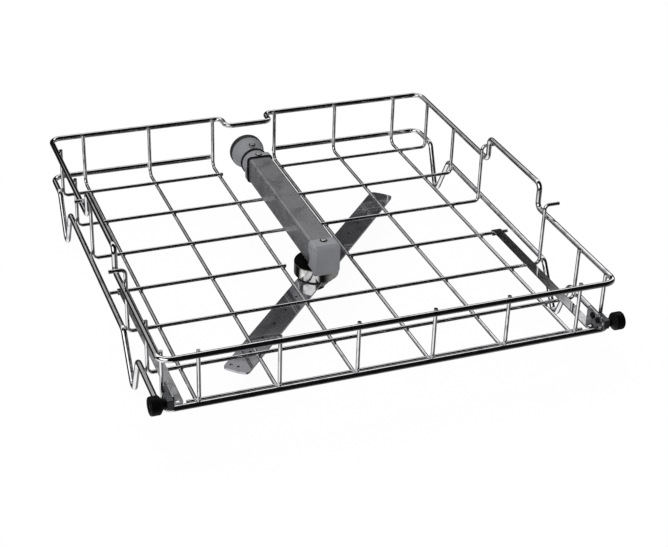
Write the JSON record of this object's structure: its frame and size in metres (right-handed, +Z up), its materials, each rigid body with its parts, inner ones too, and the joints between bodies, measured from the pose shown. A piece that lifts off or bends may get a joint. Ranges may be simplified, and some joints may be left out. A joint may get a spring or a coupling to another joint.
{
  "type": "dishwasher basket",
  "caption": "Square wire dishwasher basket with a raised rim, side handles, V legs, front rollers and a feed tube that carries a turning spray arm below the floor.",
  "frame": {"origin": "on the ground under the feet, in the middle of the basket's length and width", "axes": "+X to the right, +Y to the back where the water inlet is, +Z up"},
  "size_m": [0.5006, 0.5172, 0.1326],
  "materials": {
    "polished_wire": "polished",
    "strip_steel": "mill finish",
    "block_steel": "satin",
    "bright_steel": "polished",
    "black_plastic": "semi-gloss",
    "tube_steel": "brushed lengthwise",
    "arm_steel": "brushed lengthwise",
    "grey_plastic": "satin",
    "dark_rubber": "matt",
    "bush_plastic": "satin"
  },
  "bodies": {
    "basket": {"rim_wire": "polished_wire", "base_frame": "polished_wire", "length_wire_1": "polished_wire", "length_wire_2": "polished_wire", "length_wire_3": "polished_wire", "length_wire_4": "polished_wire", "length_wire_5": "polished_wire", "length_wire_6": "polished_wire", "cross_wire_1_left": "polished_wire", "cross_wire_1_right": "polished_wire", "cross_wire_2": "polished_wire", "cross_wire_3": "polished_wire", "cross_wire_4_left": "polished_wire", "cross_wire_4_right": "polished_wire", "cross_wire_5": "polished_wire", "cross_wire_6": "polished_wire", "cross_wire_7": "polished_wire", "corner_post_left": "polished_wire", "corner_post_right": "polished_wire", "side_strip_left": "strip_steel", "side_strip_right": "strip_steel", "axle_block_left": "block_steel", "axle_block_right": "block_steel", "roller_axle_left": "bright_steel", "roller_axle_right": "bright_steel", "block_bolts_left": "bright_steel", "block_bolts_right": "bright_steel", "tube_screws": "bright_steel", "bearing_housing": "bright_steel", "bearing_spindle": "bright_steel", "retaining_nut": "bright_steel", "thrust_washer": "bright_steel", "feed_tube": "tube_steel", "inlet_funnel": "grey_plastic", "end_cap": "grey_plastic", "inlet_seal": "dark_rubber", "inlet_gasket": "dark_rubber", "cap_gasket": "dark_rubber"},
    "spray_arm": {"arm_plate": "arm_steel", "arm_trough": "arm_steel", "upper_arm_bush": "bush_plastic", "lower_arm_bush": "bush_plastic"},
    "roller_left": {"roller_left": "black_plastic"},
    "roller_right": {"roller_right": "black_plastic"}
  },
  "joints": [
    {"name": "spray_arm_spin", "type": "hinge", "parent": "basket", "child": "spray_arm", "pos_m": [0, -0.01622, 0.023], "axis": [0, 0, 1], "continuous": true},
    {"name": "roller_left_spin", "type": "hinge", "parent": "basket", "child": "roller_left", "pos_m": [-0.242, -0.24907, 0.05505], "axis": [1, 0, 0], "continuous": true},
    {"name": "roller_right_spin", "type": "hinge", "parent": "basket", "child": "roller_right", "pos_m": [0.242, -0.24907, 0.05505], "axis": [1, 0, 0], "continuous": true}
  ]
}
